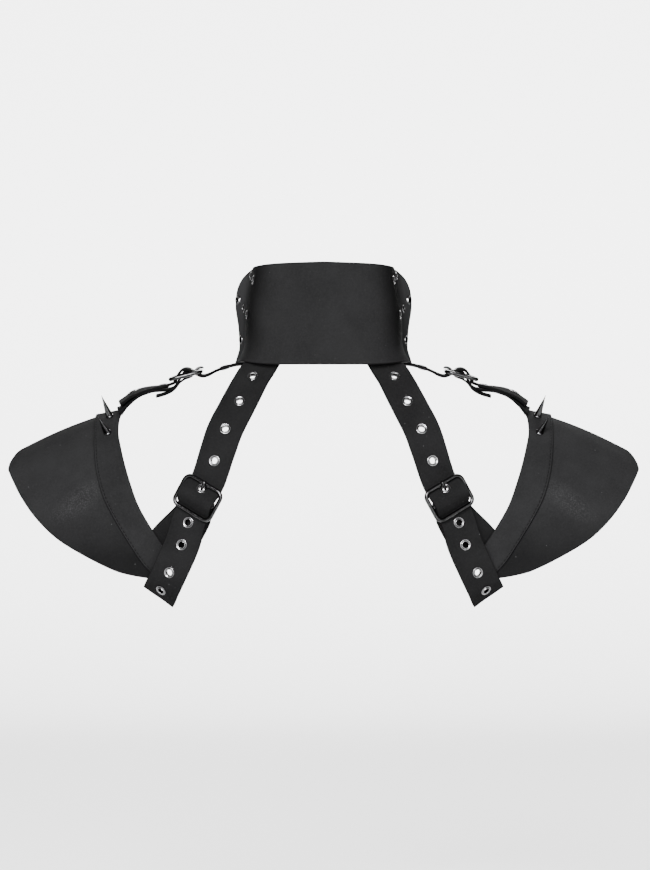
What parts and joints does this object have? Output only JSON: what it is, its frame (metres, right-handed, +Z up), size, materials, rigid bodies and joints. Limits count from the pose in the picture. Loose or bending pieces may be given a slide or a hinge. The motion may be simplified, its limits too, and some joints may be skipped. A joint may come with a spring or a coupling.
{
  "type": "shoulder guard",
  "caption": "Black faux-leather gothic shoulder guard: tall stand collar, buckled back and shoulder straps with eyelets, and two arched shoulder caps with a sewn band and cone spikes.",
  "frame": {"origin": "the middle of the neck base, on the line across the shoulders, where the collar stands on the wearer", "axes": "+X to the wearer's right, +Y to the wearer's front, +Z up"},
  "size_m": [0.6252, 0.2014, 0.3347],
  "materials": {
    "guard_leather": "matte fine grain",
    "band_leather": "matte fine grain",
    "strap_leather": "matte fine grain",
    "chape_leather": "matte",
    "eyelet_metal": "bright nickel",
    "spike_metal": "polished",
    "buckle_metal": "polished black nickel"
  },
  "bodies": {
    "root": {"collar": "guard_leather", "left_back_buckle": "buckle_metal", "left_back_chape": "chape_leather", "left_back_eyelet_1": "eyelet_metal", "left_back_eyelet_2": "eyelet_metal", "left_back_eyelet_3": "eyelet_metal", "left_back_eyelet_4": "eyelet_metal", "left_back_eyelet_5": "eyelet_metal", "left_back_eyelet_6": "eyelet_metal", "left_back_eyelet_7": "eyelet_metal", "left_back_eyelet_8": "eyelet_metal", "left_back_eyelet_9": "eyelet_metal", "left_back_prong": "buckle_metal", "left_back_strap": "strap_leather", "left_cap_band": "band_leather", "left_cap_panel": "guard_leather", "left_collar_eyelet_1": "eyelet_metal", "left_collar_eyelet_2": "eyelet_metal", "left_collar_eyelet_3": "eyelet_metal", "left_collar_eyelet_4": "eyelet_metal", "left_shoulder_buckle": "buckle_metal", "left_shoulder_chape": "chape_leather", "left_shoulder_eyelet_1": "eyelet_metal", "left_shoulder_eyelet_2": "eyelet_metal", "left_shoulder_eyelet_3": "eyelet_metal", "left_shoulder_eyelet_4": "eyelet_metal", "left_shoulder_prong": "buckle_metal", "left_shoulder_strap": "strap_leather", "left_spike_1": "spike_metal", "left_spike_2": "spike_metal", "right_back_buckle": "buckle_metal", "right_back_chape": "chape_leather", "right_back_eyelet_1": "eyelet_metal", "right_back_eyelet_2": "eyelet_metal", "right_back_eyelet_3": "eyelet_metal", "right_back_eyelet_4": "eyelet_metal", "right_back_eyelet_5": "eyelet_metal", "right_back_eyelet_6": "eyelet_metal", "right_back_eyelet_7": "eyelet_metal", "right_back_eyelet_8": "eyelet_metal", "right_back_eyelet_9": "eyelet_metal", "right_back_prong": "buckle_metal", "right_back_strap": "strap_leather", "right_cap_band": "band_leather", "right_cap_panel": "guard_leather", "right_collar_eyelet_1": "eyelet_metal", "right_collar_eyelet_2": "eyelet_metal", "right_collar_eyelet_3": "eyelet_metal", "right_collar_eyelet_4": "eyelet_metal", "right_shoulder_buckle": "buckle_metal", "right_shoulder_chape": "chape_leather", "right_shoulder_eyelet_1": "eyelet_metal", "right_shoulder_eyelet_2": "eyelet_metal", "right_shoulder_eyelet_3": "eyelet_metal", "right_shoulder_eyelet_4": "eyelet_metal", "right_shoulder_prong": "buckle_metal", "right_shoulder_strap": "strap_leather", "right_spike_1": "spike_metal", "right_spike_2": "spike_metal"}
  },
  "joints": []
}
